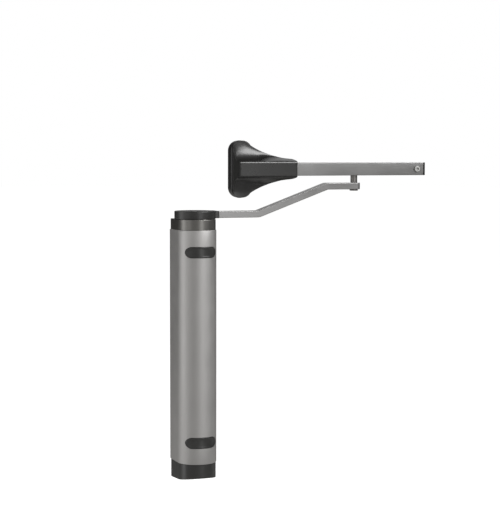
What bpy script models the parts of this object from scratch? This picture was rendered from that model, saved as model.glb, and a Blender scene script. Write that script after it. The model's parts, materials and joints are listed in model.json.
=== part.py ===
# Gate opener arm: an upright spring-and-oil closer that bolts to a gate post,
# a cranked arm on its spindle, and a slide rail that bolts to the gate leaf.
#
# Frame: +X along the closed gate, +Y into the post, +Z up, metres.
# Origin: on the face that lies against the post, on the closer's centre line,
# midway between its two pairs of fixing screws.

import math

import bmesh
import bpy
import numpy as np
from mathutils import Matrix, Vector

MM = 0.001

# ---- driving dimensions, in millimetres -------------------------------------
AXIS_Y = -34.0          # spindle, arm and rail all lie in this plane

TUBE_W = 30.0           # half width of the closer's D-shaped tube
TUBE_ARC_Y = -40.0      # centre of its round front
TUBE_HALF = 175.0       # half length of the tube
TUBE_WALL = 3.0
TUBE_CORNER = 3.6
FIX_Z = 142.5           # fixing screws above and below the origin
FIX_X = 15.5            # fixing screws either side of the centre line
SLOT_W, SLOT_H = 48.0, 17.0

COLLAR_TOP = 191.0
CAP_BOTTOM = -203.2     # at the back; the underside curves up towards the front
CAP_BELLY = 340.0       # radius of that curve
KEY_X, KEY_Y = 12.5, 5.2  # half sides of the window in the bottom cap, for the speed keys
HUB_R = 31.0
HUB_Z = (191.3, 203.2)
BEAK_X = 34.2           # the hub's beak over the arm's root

ARM_T, ARM_W = 10.2, 17.0
ARM_Z = 197.3           # centre of the arm's root
ARM_RISE = 41.3
ARM_BENDS = (99.5, 211.9)
ARM_END = 268.2
PIN_X = 259.4
PIN_R = 5.3

RAIL_Z = 265.0
RAIL_H, RAIL_D, RAIL_WALL = 20.0, 20.0, 2.0
RAIL_SLOT = 11.6
RAIL_X = (104.4, 373.8)
CAP_X = 377.0
SCREW_X = 362.8

GATE_X = 81.0           # centre line of the gate's stile
PLATE_W, PLATE_HALF, PLATE_T = 17.0, 43.5, 16.0
PLATE_CORNER = 15.5
COVER_BACK_Y = -16.4
COVER_RIM_Y = -21.0
COVER_FRONT_Y = -45.3
COVER_FRONT_X = (67.8, 161.0)
COVER_FRONT_Z = 11.3

CYL_R, CYL_BORE = 23.0, 20.0
LEAD = 72.0             # spindle helix: piston travel per turn
STEPS = 24


# ---- scene and materials ----------------------------------------------------
for old in list(bpy.data.objects):
    bpy.data.objects.remove(old, do_unlink=True)

parts = bpy.data.collections.new("gate_opener_arm")
cutters = bpy.data.collections.new("cutters")
bpy.context.scene.collection.children.link(parts)
bpy.context.scene.collection.children.link(cutters)


def material(name, colour, roughness, metallic):
    m = bpy.data.materials.new(name)
    m.use_nodes = True
    shader = m.node_tree.nodes["Principled BSDF"]
    shader.inputs["Base Color"].default_value = (*colour, 1.0)
    shader.inputs["Roughness"].default_value = roughness
    shader.inputs["Metallic"].default_value = metallic
    m.diffuse_color = (*colour, 1.0)
    return m


ANODISED = material("anodised_aluminium", (0.50, 0.49, 0.48), 0.38, 1.0)
RAIL_ALU = material("rail_aluminium", (0.42, 0.42, 0.42), 0.42, 1.0)
ARM_STEEL = material("arm_steel", (0.47, 0.46, 0.46), 0.45, 1.0)
ZINC = material("zinc_plate", (0.62, 0.62, 0.60), 0.35, 1.0)
STEEL = material("bright_steel", (0.55, 0.55, 0.56), 0.25, 1.0)
SPRING = material("spring_steel", (0.18, 0.18, 0.19), 0.4, 1.0)
CAST = material("cast_aluminium", (0.45, 0.45, 0.45), 0.6, 1.0)
COLLAR_MAT = material("dark_collar", (0.08, 0.08, 0.078), 0.35, 0.6)
BLACK = material("black_plastic", (0.025, 0.025, 0.025), 0.4, 0.0)
BRACKET = material("black_powder_coat", (0.03, 0.03, 0.03), 0.35, 0.0)
BRONZE = material("bronze", (0.55, 0.36, 0.16), 0.35, 1.0)
RUBBER = material("rubber", (0.015, 0.015, 0.015), 0.8, 0.0)
POM = material("slider_plastic", (0.02, 0.02, 0.02), 0.5, 0.0)


# ---- helpers ----------------------------------------------------------------
def frame_empty(name, at):
    e = bpy.data.objects.new(name, None)
    e.location = Vector(at) * MM
    e.empty_display_size = 0.02
    parts.objects.link(e)
    return e


def finish(obj, mat, parent, smooth=30.0):
    """Links a part, gives it its material and hangs it on its body's empty."""
    if obj.name not in parts.objects:
        parts.objects.link(obj)
    obj.data.materials.clear()
    obj.data.materials.append(mat)
    if obj.type == "MESH" and len(obj.data.polygons):
        obj.data.shade_smooth()
        obj.data.set_sharp_from_angle(angle=math.radians(smooth))
    if parent is not None:
        obj.parent = parent
        obj.matrix_parent_inverse = Matrix.Translation(-parent.location)
    return obj


def as_cutter(obj):
    obj.hide_render = True
    obj.display_type = "WIRE"
    cutters.objects.link(obj)
    return obj


def boolean(obj, other, operation="DIFFERENCE"):
    m = obj.modifiers.new(operation.title() + "_" + other.name, "BOOLEAN")
    m.object = other
    m.operation = operation
    m.solver = "EXACT"
    return m


def mesh_of(name, bm):
    mesh = bpy.data.meshes.new(name)
    bmesh.ops.recalc_face_normals(bm, faces=bm.faces)
    bm.to_mesh(mesh)
    bm.free()
    return bpy.data.objects.new(name, mesh)


def box(name, x, y, z, bevel=0.0):
    """A box between two corners; x, y and z are (low, high) in millimetres."""
    bm = bmesh.new()
    size = Vector((x[1] - x[0], y[1] - y[0], z[1] - z[0])) * MM
    bmesh.ops.create_cube(bm, size=1.0, matrix=Matrix.Diagonal((*size, 1.0)))
    obj = mesh_of(name, bm)
    obj.location = Vector((sum(x) / 2, sum(y) / 2, sum(z) / 2)) * MM
    if bevel:
        b = obj.modifiers.new("Edges", "BEVEL")
        b.width = bevel * MM
        b.segments = 1
        b.limit_method = "ANGLE"
    return obj


DIRECTION = {
    "X": Matrix.Rotation(math.radians(90), 4, "Y"),
    "Y": Matrix.Rotation(math.radians(-90), 4, "X"),
    "Z": Matrix.Identity(4),
    "-Y": Matrix.Rotation(math.radians(90), 4, "X"),
    "-Z": Matrix.Rotation(math.radians(180), 4, "X"),
}


def rod(name, radius, centre, axis, low, high, sides=STEPS):
    """A cylinder along a row axis between two coordinates on it."""
    bm = bmesh.new()
    bmesh.ops.create_cone(
        bm, cap_ends=True, segments=sides, radius1=radius * MM,
        radius2=radius * MM, depth=(high - low) * MM,
    )
    obj = mesh_of(name, bm)
    at = Vector(centre)
    at["XYZ".index(axis)] = (low + high) / 2
    obj.matrix_world = Matrix.Translation(at * MM) @ DIRECTION[axis]
    return obj


def turned(name, profile, at, steps=STEPS, axis="Z", ring=False):
    """A turned piece: (radius, height) points run down the outer side."""
    bm = bmesh.new()
    verts = [bm.verts.new((r * MM, 0.0, z * MM)) for r, z in profile]
    for a, b in zip(verts, verts[1:]):
        bm.edges.new((a, b))
    if ring:
        bm.edges.new((verts[-1], verts[0]))
    mesh = bpy.data.meshes.new(name)
    bm.to_mesh(mesh)
    bm.free()
    obj = bpy.data.objects.new(name, mesh)
    screw = obj.modifiers.new("Turn", "SCREW")
    screw.axis = "Z"
    screw.angle = 2 * math.pi
    screw.steps = screw.render_steps = steps
    screw.use_merge_vertices = True
    screw.merge_threshold = 0.00001
    screw.use_smooth_shade = False
    obj.matrix_world = Matrix.Translation(Vector(at) * MM) @ DIRECTION[axis]
    return obj


def washer(name, inner, outer, centre, low, high, steps=20):
    return turned(
        name, [(outer, high), (outer, low), (inner, low), (inner, high)],
        (centre[0], centre[1], 0.0), steps, ring=True,
    )


PLANE = {
    "XY": Matrix.Identity(4),
    "XZ": Matrix.Rotation(math.radians(90), 4, "X"),
    "YZ": Matrix.Rotation(math.radians(90), 4, "Z") @ Matrix.Rotation(math.radians(90), 4, "X"),
}
NORMAL = {"XY": Vector((0, 0, 1)), "XZ": Vector((0, 1, 0)), "YZ": Vector((1, 0, 0))}


def plate(name, outlines, plane, low, high):
    """A flat outline (with any inner outlines as holes) made solid between two heights."""
    curve = bpy.data.curves.new(name + "_outline", "CURVE")
    curve.dimensions = "2D"
    curve.fill_mode = "BOTH"
    curve.extrude = (high - low) / 2 * MM
    for points in outlines:
        spline = curve.splines.new("POLY")
        spline.points.add(len(points) - 1)
        for p, (a, b) in zip(spline.points, points):
            p.co = (a * MM, b * MM, 0.0, 1.0)
        spline.use_cyclic_u = True
    helper = bpy.data.objects.new(name + "_curve", curve)
    helper.matrix_world = Matrix.Translation(NORMAL[plane] * (low + high) / 2 * MM) @ PLANE[plane]
    cutters.objects.link(helper)
    bpy.context.view_layer.update()
    graph = bpy.context.evaluated_depsgraph_get()
    mesh = bpy.data.meshes.new_from_object(helper.evaluated_get(graph))
    mesh.name = name
    bm = bmesh.new()
    bm.from_mesh(mesh)
    bmesh.ops.remove_doubles(bm, verts=bm.verts, dist=1e-6)
    if len(outlines) == 1:
        bmesh.ops.dissolve_limit(bm, angle_limit=math.radians(0.5), verts=bm.verts, edges=bm.edges)
    bmesh.ops.recalc_face_normals(bm, faces=bm.faces)
    bm.to_mesh(mesh)
    bm.free()
    obj = bpy.data.objects.new(name, mesh)
    obj.matrix_world = helper.matrix_world.copy()
    bpy.data.objects.remove(helper, do_unlink=True)
    return obj


def arc(cx, cy, r, start, end, n):
    """n + 1 points on an arc, angles in degrees, end included."""
    return [
        (cx + r * math.cos(math.radians(a)), cy + r * math.sin(math.radians(a)))
        for a in np.linspace(start, end, n + 1)
    ]


def d_outline(half, back, corner, n=24, c=3):
    """The closer's D: a round front, straight sides and a flat back with small corners."""
    return (
        arc(0, TUBE_ARC_Y, half, 180, 360, n)
        + arc(half - corner, back - corner, corner, 0, 90, c)
        + arc(-half + corner, back - corner, corner, 90, 180, c)
    )


def obround(cx, cy, width, height, n=8):
    """A slot shape, wider than high (or higher than wide)."""
    if width >= height:
        r = height / 2
        d = width / 2 - r
        return arc(cx + d, cy, r, -90, 90, n) + arc(cx - d, cy, r, 90, 270, n)
    r = width / 2
    d = height / 2 - r
    return arc(cx, cy + d, r, 0, 180, n) + arc(cx, cy - d, r, 180, 360, n)


def loft(name, rings):
    """A closed solid through rings that all hold the same number of points (mm)."""
    bm = bmesh.new()
    rows = [[bm.verts.new(Vector(p) * MM) for p in ring] for ring in rings]
    n = len(rows[0])
    for a, b in zip(rows, rows[1:]):
        for i in range(n):
            j = (i + 1) % n
            bm.faces.new((a[i], a[j], b[j], b[i]))
    bm.faces.new(list(reversed(rows[0])))
    bm.faces.new(rows[-1])
    return mesh_of(name, bm)


def socket_screw(name, at, axis, head_r, head_h, shank_r, length, socket, mat, parent,
                 steps=12, flat=False):
    """A hexagon-socket screw; local +Z points out of the head, at is under the head."""
    if flat:                                     # countersunk: at is the head's top face
        profile = [(0, 0), (head_r, 0), (head_r, -0.4), (shank_r, -0.4 - (head_r - shank_r)),
                   (shank_r, -length), (0, -length)]
        top = 0.0
    else:
        profile = [(0, head_h), (head_r * 0.86, head_h), (head_r, head_h * 0.72), (head_r, 0),
                   (shank_r, 0), (shank_r, -length), (0, -length)]
        top = head_h
    obj = turned(name, profile, at, steps, axis)
    bm = bmesh.new()
    depth = min(2.6, head_h * 0.6 if not flat else 2.0)
    bmesh.ops.create_cone(bm, cap_ends=True, segments=6, radius1=socket * MM,
                          radius2=socket * MM, depth=2 * depth * MM)
    hexagon = mesh_of(name + "_hex", bm)
    hexagon.matrix_world = obj.matrix_world @ Matrix.Translation((0, 0, top * MM))
    boolean(obj, as_cutter(hexagon))
    return finish(obj, mat, parent)


# ---- bodies -----------------------------------------------------------------
closer = frame_empty("closer_frame", (0, 0, 0))
arm = frame_empty("arm_axis", (0, AXIS_Y, ARM_Z))
ram = frame_empty("piston_axis", (0, AXIS_Y, 0))
shoe = frame_empty("slider_axis", (PIN_X, AXIS_Y, RAIL_Z))
leaf = frame_empty("rail_frame", (PIN_X, AXIS_Y, RAIL_Z))
speed = frame_empty("closing_speed_axis", (-7, AXIS_Y, -168))
latch = frame_empty("latch_speed_axis", (7, AXIS_Y, -168))


# ---- closer: tube, end caps and slot covers ----------------------------------
tube = plate(
    "body_tube",
    [d_outline(TUBE_W, 0, TUBE_CORNER),
     d_outline(TUBE_W - TUBE_WALL, -TUBE_WALL, 2.0, c=2)],
    "XY", -TUBE_HALF, TUBE_HALF,
)
for side, z in (("upper", FIX_Z), ("lower", -FIX_Z)):
    slot = as_cutter(plate("slot_cut_" + side, [obround(0, z, SLOT_W, SLOT_H)], "XZ", -90, -46))
    boolean(tube, slot)
    for hand, x in (("left", -FIX_X), ("right", FIX_X)):
        boolean(tube, as_cutter(rod(f"tube_hole_{side}_{hand}", 4.5, (x, 0, z), "Y", -12, 6, 16)))
finish(tube, ANODISED, closer)

for side, z in (("upper", FIX_Z), ("lower", -FIX_Z)):
    shell = plate(
        "slot_cover_" + side,
        [d_outline(TUBE_W - 0.25, -0.3, 3.7), d_outline(TUBE_W - TUBE_WALL + 0.1, -2.6, 2.0, c=2)],
        "XY", z - 12, z + 12,
    )
    boolean(shell, as_cutter(plate("cover_form_" + side, [obround(0, z, SLOT_W - 0.7, SLOT_H - 0.7)],
                                   "XZ", -95, -45)), "INTERSECT")
    finish(shell, BLACK, closer)

collar = plate("top_collar", [d_outline(TUBE_W - 1.0, -0.8, 4.0)], "XY", TUBE_HALF + 0.3, COLLAR_TOP)
boolean(collar, as_cutter(plate("collar_spigot", [d_outline(26.6, -3.4, 1.8, c=2)], "XY", 168.4, 178)), "UNION")
boolean(collar, as_cutter(rod("collar_bore", 11.3, (0, AXIS_Y, 0), "Z", 160, 200)))
for hand, x in (("left", -18), ("right", 18)):
    boolean(collar, as_cutter(turned(
        "collar_sink_" + hand, [(0, 12), (4.4, 12), (4.4, -0.2), (2.4, -2.2), (2.4, -40), (0, -40)],
        (x, -20, COLLAR_TOP), 12)))
finish(collar, COLLAR_MAT, closer)

cap = plate("bottom_cap", [d_outline(TUBE_W - 1.0, -0.8, 4.0)], "XY", CAP_BOTTOM - 4, -TUBE_HALF - 0.3)
boolean(cap, as_cutter(rod("cap_belly", CAP_BELLY, (0, 0, CAP_BOTTOM + CAP_BELLY), "X", -60, 60, 128)), "INTERSECT")
boolean(cap, as_cutter(plate("cap_spigot", [d_outline(26.6, -3.4, 1.8, c=2)], "XY", -178, -168.4)), "UNION")
boolean(cap, as_cutter(box("cap_key_window", (-KEY_X, KEY_X), (AXIS_Y - KEY_Y, AXIS_Y + KEY_Y), (-215, -160))))
for hand, x in (("left", -18), ("right", 18)):
    boolean(cap, as_cutter(rod("cap_sink_" + hand, 4.4, (x, -20, 0), "Z", -215, -193, 12)))
    boolean(cap, as_cutter(rod("cap_hole_" + hand, 2.4, (x, -20, 0), "Z", -195, -160, 12)))
finish(cap, BLACK, closer)


# ---- closer: the two end blocks that take the fixing screws --------------------
def end_block(name, low, high, z):
    block = plate(name, [d_outline(TUBE_W - TUBE_WALL - 0.35, -TUBE_WALL - 0.35, 1.7, c=2)], "XY", low, high)
    for hand, x in (("left", -FIX_X), ("right", FIX_X)):
        boolean(block, as_cutter(turned(
            f"{name}_seat_{hand}",
            [(0, 40), (7.0, 40), (7.0, 0), (4.4, 0), (4.4, -60), (0, -60)],
            (x, -44.4, z), 16, "-Y")))
        boolean(block, as_cutter(rod(f"{name}_tap_{hand}", 2.3, (18 * (-1 if x < 0 else 1), -20, 0), "Z",
                                     *((158, 180) if z > 0 else (-180, -158)), sides=12)))
    return block


upper = end_block("upper_end_block", 122.4, 168.0, FIX_Z)
boolean(upper, as_cutter(rod("upper_bore", 9.2, (0, AXIS_Y, 0), "Z", 100, 190)))
boolean(upper, as_cutter(rod("upper_bush_seat", 11.8, (0, AXIS_Y, 0), "Z", 150, 190)))
boolean(upper, as_cutter(rod("upper_flange_seat", 15.8, (0, AXIS_Y, 0), "Z", 164.8, 190)))
finish(upper, CAST, closer)

lower = end_block("lower_end_block", -168.0, -122.4, -FIX_Z)
for hand, x in (("left", -7), ("right", 7)):
    boolean(lower, as_cutter(rod("lower_passage_" + hand, 3.7, (x, AXIS_Y, 0), "Z", -190, -100, 16)))
finish(lower, CAST, closer)

for side, z in (("upper", FIX_Z), ("lower", -FIX_Z)):
    for hand, x in (("left", -FIX_X), ("right", FIX_X)):
        socket_screw(f"post_screw_{side}_{hand}", (x, -44.7, z), "-Y", 6.5, 8.0, 4.0, 44.3, 3.4,
                     ZINC, closer)

for hand, x in (("left", -18), ("right", 18)):
    socket_screw("collar_screw_" + hand, (x, -20, COLLAR_TOP - 0.3), "Z", 3.9, 0, 1.9, 27.0, 1.7,
                 STEEL, closer, flat=True)
    socket_screw("bottom_cap_screw_" + hand, (x, -20, -193.3), "-Z", 3.8, 2.6, 1.9, 31.0, 1.7,
                 STEEL, closer)


# ---- closer: oil cylinder and its heads ---------------------------------------
washer("oil_cylinder", CYL_BORE, CYL_R, (0, AXIS_Y), -112.7, 112.7, 32)
finish(bpy.data.objects["oil_cylinder"], STEEL, closer)

finish(turned(
    "cylinder_head",
    [(CYL_R, 122.0), (CYL_R, 113.0), (19.6, 113.0), (19.6, 110.9), (18.2, 110.9), (18.2, 108.1),
     (19.6, 108.1), (19.6, 105.0), (8.2, 105.0), (8.2, 122.0)],
    (0, AXIS_Y, 0), 32, ring=True), CAST, closer)

valve_block = turned(
    "valve_block",
    [(0, -105.0), (19.6, -105.0), (19.6, -108.1), (18.2, -108.1), (18.2, -110.9), (19.6, -110.9),
     (19.6, -113.0), (CYL_R, -113.0), (CYL_R, -122.0), (0, -122.0)],
    (0, AXIS_Y, 0), 32)
for hand, x in (("left", -7), ("right", 7)):
    boolean(valve_block, as_cutter(rod("valve_bore_" + hand, 3.2, (x, AXIS_Y, 0), "Z", -130, -109.5, 16)))
finish(valve_block, CAST, closer)


def ring_seal(name, radius, wire, z, parent, steps=20):
    """A rubber ring of round section in its groove."""
    section = arc(radius, z, wire, 90, -180 - 90 + 60, 5)
    return finish(turned(name, section, (0, AXIS_Y, 0), steps, ring=True), RUBBER, parent, 80)


ring_seal("head_seal", 19.05, 0.7, 109.5, closer)
ring_seal("base_seal", 19.05, 0.7, -109.5, closer)

finish(turned("spindle_bush", [(15.5, 167.9), (15.5, 165.0), (11.5, 165.0), (11.5, 150.4),
                               (7.7, 150.4), (7.7, 167.9)],
              (0, AXIS_Y, 0), STEPS, ring=True), BRONZE, closer)
finish(turned("shaft_seal", [(11.0, 188.0), (11.0, 181.0), (8.9, 181.0), (7.75, 182.6), (8.9, 184.2),
                             (8.9, 188.0)],
              (0, AXIS_Y, 0), STEPS, ring=True), RUBBER, closer, 60)

for hand, (a, b) in (("left", (-19.6, -17.4)), ("right", (17.4, 19.6))):
    finish(box("guide_key_" + hand, (a, b), (AXIS_Y - 2, AXIS_Y + 2), (26, 104.5)), STEEL, closer)

finish(washer("lower_spring_seat", 9.0, 17.2, (0, AXIS_Y), -104.6, -102.0), STEEL, closer)


# ---- adjusting screws ----------------------------------------------------------
for name, x, body in (("closing_speed_screw", -7, speed), ("latch_speed_screw", 7, latch)):
    screw = turned(
        name,
        [(0, -110.6), (0.8, -110.6), (2.7, -114.5), (2.7, -160.0), (3.3, -160.0), (3.3, -168.6), (0, -168.6)],
        (x, AXIS_Y, 0), 12)
    bm = bmesh.new()
    bmesh.ops.create_cone(bm, cap_ends=True, segments=6, radius1=2.0 * MM, radius2=2.0 * MM, depth=7 * MM)
    hexagon = mesh_of(name + "_hex", bm)
    hexagon.location = Vector((x, AXIS_Y, -168.6)) * MM
    boolean(screw, as_cutter(hexagon))
    finish(screw, ZINC, body)


# ---- spindle, piston and spring -------------------------------------------------
def lobes(z, grow, n=24):
    """One slice of the four-start helix; the left-hand twist is LEAD millimetres a turn."""
    turn = -2 * math.pi * z / LEAD
    return [
        (
            (8.2 + grow + 1.3 * math.cos(4 * t)) * math.cos(t + turn),
            (8.2 + grow + 1.3 * math.cos(4 * t)) * math.sin(t + turn),
            z,
        )
        for t in np.linspace(0, 2 * math.pi, n, endpoint=False)
    ]


helix = loft("spindle_helix", [lobes(z, 0.0, 16) for z in np.linspace(24, 101, 28)])
helix.location = Vector((0, AXIS_Y, 0)) * MM
spindle = turned(
    "spindle",
    [(0, 191.0), (7.5, 191.0), (7.5, 102.9), (12.0, 102.9), (12.0, 99.0), (5.5, 99.0), (5.5, 20.0), (0, 20.0)],
    (0, AXIS_Y, 0), STEPS)
boolean(spindle, as_cutter(helix), "UNION")
boolean(spindle, as_cutter(box("spindle_square", (-5.2, 5.2), (AXIS_Y - 5.2, AXIS_Y + 5.2), (188, 198.1))), "UNION")
boolean(spindle, as_cutter(rod("spindle_tap", 2.6, (0, AXIS_Y, 0), "Z", 184, 210, 12)))
finish(spindle, STEEL, arm)

finish(washer("thrust_washer", 8.0, 14.0, (0, AXIS_Y), 103.1, 104.7), BRONZE, arm)

PISTON_Z = (68.0, 94.0)
piston = turned("piston", [(0, PISTON_Z[1]), (19.0, PISTON_Z[1]), (19.6, PISTON_Z[1] - 0.6),
                           (19.6, PISTON_Z[0] + 0.6), (19.0, PISTON_Z[0]), (0, PISTON_Z[0])],
                (0, AXIS_Y, 0), 32)
nut = loft("piston_helix", [lobes(z, 0.6, 16) for z in np.linspace(PISTON_Z[0] - 2, PISTON_Z[1] + 2, 11)])
nut.location = Vector((0, AXIS_Y, 0)) * MM
boolean(piston, as_cutter(nut))
for hand, x in (("left", (-24, -16.9)), ("right", (16.9, 24))):
    boolean(piston, as_cutter(box("piston_key_slot_" + hand, x, (AXIS_Y - 2.5, AXIS_Y + 2.5), (60, 100))))
finish(piston, STEEL, ram)
finish(washer("upper_spring_seat", 11.0, 16.8, (0, AXIS_Y), 65.2, 67.7), STEEL, ram)


def coil(name, radius, wire, low, high, turns, per_turn=12):
    """A compression spring with one closed turn at each end."""
    points = []
    total = int(turns * per_turn)
    for i in range(total + 1):
        t = i / per_turn
        closed = wire * 2.15
        if t < 1:
            z = low + wire + closed * t
        elif t > turns - 1:
            z = high - wire - closed * (turns - t)
        else:
            z = low + wire + closed + (high - low - 2 * wire - 2 * closed) * (t - 1) / (turns - 2)
        a = 2 * math.pi * t
        points.append((radius * math.cos(a), radius * math.sin(a), z))
    curve = bpy.data.curves.new(name, "CURVE")
    curve.dimensions = "3D"
    curve.bevel_depth = wire * MM
    curve.bevel_resolution = 2
    curve.use_fill_caps = True
    spline = curve.splines.new("POLY")
    spline.points.add(len(points) - 1)
    for p, c in zip(spline.points, points):
        p.co = (c[0] * MM, c[1] * MM, c[2] * MM, 1.0)
    obj = bpy.data.objects.new(name, curve)
    obj.location = Vector((0, AXIS_Y, 0)) * MM
    return obj


finish(coil("closing_spring", 14.4, 2.2, -101.7, 64.9, 9), SPRING, ram)


# ---- arm: hub, cranked bar, screws and pivot pin ---------------------------------
ARM_TENON = ARM_Z + ARM_T / 2 - 1.9     # the bar's root is milled thinner to fit under the hub's roof
hub = turned(
    "arm_hub",
    [(0, HUB_Z[1]), (HUB_R - 1.2, HUB_Z[1]), (HUB_R - 0.35, HUB_Z[1] - 0.35), (HUB_R, HUB_Z[1] - 1.2),
     (HUB_R, HUB_Z[0]), (0, HUB_Z[0])],
    (0, AXIS_Y, 0), 48)
beak = plate("hub_beak", [[(0, AXIS_Y - 14), (BEAK_X - 1.4, AXIS_Y - 14), (BEAK_X, AXIS_Y - 12.6),
                           (BEAK_X, AXIS_Y + 12.6), (BEAK_X - 1.4, AXIS_Y + 14), (0, AXIS_Y + 14)]],
             "XY", HUB_Z[0] + 0.9, HUB_Z[1] - 0.15)
boolean(hub, as_cutter(beak), "UNION")
boolean(hub, as_cutter(box("hub_arm_seat", (11.6, 60), (AXIS_Y - ARM_W / 2 - 0.35, AXIS_Y + ARM_W / 2 + 0.35),
                            (185, ARM_TENON + 0.3))))
boolean(hub, as_cutter(box("hub_square", (-5.5, 5.5), (AXIS_Y - 5.5, AXIS_Y + 5.5), (185, 210))))
boolean(hub, as_cutter(rod("hub_recess", 9.3, (0, AXIS_Y, 0), "Z", 198.4, 212)))
for label, x in (("inner", 18.4), ("outer", 27.4)):
    boolean(hub, as_cutter(turned(
        "hub_sink_" + label, [(0, 10), (4.1, 10), (4.1, -0.6), (2.5, -2.2), (2.5, -20), (0, -20)],
        (x, AXIS_Y, HUB_Z[1]), 12)))
finish(hub, BLACK, arm)


def arm_profile(x0, x1):
    """Side view of the cranked bar, with rounded bends."""
    h = ARM_T / 2
    run = ARM_BENDS[1] - ARM_BENDS[0]
    tilt = math.atan2(ARM_RISE, run)
    line = []
    r = 12.0
    cut = r * math.tan(tilt / 2)
    for i, (bx, bz, s) in enumerate(((ARM_BENDS[0], ARM_Z, 1), (ARM_BENDS[1], ARM_Z + ARM_RISE, -1))):
        for k in range(5):
            a = tilt * k / 4
            if s > 0:        # bends upwards: centre above the bar
                cx, cz = bx - cut, bz + r
                line.append((cx + r * math.sin(a), cz - r * math.cos(a), a))
            else:            # levels off: centre below the bar
                cx, cz = bx + cut, bz - r
                b = tilt - a
                line.append((cx - r * math.sin(b), cz + r * math.cos(b), b))
    line = [(x0, ARM_Z, 0.0)] + line + [(x1, ARM_Z + ARM_RISE, 0.0)]
    top = [(x - h * math.sin(a), z + h * math.cos(a)) for x, z, a in line]
    low = [(x + h * math.sin(a), z - h * math.cos(a)) for x, z, a in line]
    return low + top[::-1]


bar = plate("arm_bar", [arm_profile(12.0, ARM_END)], "XZ", AXIS_Y - ARM_W / 2, AXIS_Y + ARM_W / 2)
wide = ARM_W / 2 + 4
plan = ([(5, AXIS_Y - wide), (ARM_END - 8, AXIS_Y - wide), (ARM_END - 6.5, AXIS_Y - ARM_W / 2)]
        + arc(ARM_END - 6.5, AXIS_Y - ARM_W / 2 + 6.5, 6.5, -75, 0, 5)
        + arc(ARM_END - 6.5, AXIS_Y + ARM_W / 2 - 6.5, 6.5, 0, 75, 5)
        + [(ARM_END - 6.5, AXIS_Y + ARM_W / 2), (ARM_END - 8, AXIS_Y + wide), (5, AXIS_Y + wide)])
boolean(bar, as_cutter(plate("arm_plan", [plan], "XY", 180, 260)), "INTERSECT")
boolean(bar, as_cutter(box("arm_tenon", (5, BEAK_X + 0.3), (AXIS_Y - 20, AXIS_Y + 20), (ARM_TENON, 215))))
boolean(bar, as_cutter(rod("arm_pin_hole", 4.3, (PIN_X, AXIS_Y, 0), "Z", 225, 250, 16)))
for label, x in (("inner", 18.4), ("outer", 27.4)):
    boolean(bar, as_cutter(rod("arm_hole_" + label, 2.4, (x, AXIS_Y, 0), "Z", 180, 210, 12)))
finish(bar, ARM_STEEL, arm)

for label, x in (("inner", 18.4), ("outer", 27.4)):
    socket_screw("arm_screw_" + label, (x, AXIS_Y, HUB_Z[1] - 0.3), "Z", 3.8, 0, 2.0, 10.2, 1.6,
                 ZINC, arm, flat=True)
finish(washer("hub_washer", 3.4, 8.9, (0, AXIS_Y), 198.7, 199.7, 20), ZINC, arm)
socket_screw("hub_screw", (0, AXIS_Y, 200.0), "Z", 5.2, 2.9, 2.3, 14.0, 2.2, ZINC, arm, steps=16)

ARM_END_TOP = ARM_Z + ARM_RISE + ARM_T / 2
ARM_END_LOW = ARM_Z + ARM_RISE - ARM_T / 2
finish(turned(
    "pivot_pin",
    [(0, 269.6), (3.5, 269.6), (4.0, 269.1), (4.0, 268.3), (3.2, 268.3), (3.2, 266.9), (4.0, 266.9),
     (4.0, 256.6), (PIN_R, 256.6),
     (PIN_R, ARM_END_TOP + 0.3), (4.0, ARM_END_TOP + 0.3), (4.0, ARM_END_LOW - 0.3), (6.6, ARM_END_LOW - 0.3),
     (6.6, ARM_END_LOW - 1.4), (5.6, ARM_END_LOW - 2.2), (0, ARM_END_LOW - 2.2)],
    (PIN_X, AXIS_Y, 0), STEPS), ZINC, arm)
clip = washer("pin_clip", 3.5, 5.8, (PIN_X, AXIS_Y), 267.1, 268.1, STEPS)
boolean(clip, as_cutter(box("clip_gap", (PIN_X, PIN_X + 12), (AXIS_Y - 1.3, AXIS_Y + 1.3), (260, 275))))
finish(clip, SPRING, arm)


# ---- slider that runs in the rail --------------------------------------------------
SL_X, SL_Y, SL_Z = 18.0, RAIL_D / 2 - RAIL_WALL - 0.35, RAIL_H / 2 - RAIL_WALL - 0.35
block = box("slider_block", (PIN_X - SL_X, PIN_X + SL_X), (AXIS_Y - SL_Y, AXIS_Y + SL_Y),
            (RAIL_Z - SL_Z, RAIL_Z + SL_Z), 0.8)
boolean(block, as_cutter(rod("slider_bore", 5.7, (PIN_X, AXIS_Y, 0), "Z", 240, 290)))
boolean(block, as_cutter(rod("slider_pocket", 6.3, (PIN_X, AXIS_Y, 0), "Z", 266.6, 290)))
finish(block, POM, shoe)
finish(washer("slider_bush", 4.3, 5.4, (PIN_X, AXIS_Y), 257.5, 266.4), BRONZE, shoe)


# ---- rail and its end cap --------------------------------------------------------
def rail_section():
    """C section with its slot facing down, in the YZ plane."""
    y0, y1 = AXIS_Y - RAIL_D / 2, AXIS_Y + RAIL_D / 2
    z0, z1 = RAIL_Z - RAIL_H / 2, RAIL_Z + RAIL_H / 2
    w, s, c = RAIL_WALL, RAIL_SLOT / 2, 0.7
    return [
        (AXIS_Y + s, z0), (y1 - c, z0), (y1, z0 + c), (y1, z1 - c), (y1 - c, z1), (y0 + c, z1), (y0, z1 - c),
        (y0, z0 + c), (y0 + c, z0), (AXIS_Y - s, z0), (AXIS_Y - s, z0 + w), (y0 + w, z0 + w),
        (y0 + w, z1 - w), (y1 - w, z1 - w), (y1 - w, z0 + w), (AXIS_Y + s, z0 + w),
    ]


rail = plate("slide_rail", [rail_section()], "YZ", *RAIL_X)
boolean(rail, as_cutter(rod("rail_screw_hole", 2.7, (SCREW_X, 0, RAIL_Z), "Y", -60, AXIS_Y - 6, 16)))
finish(rail, RAIL_ALU, leaf)

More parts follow.
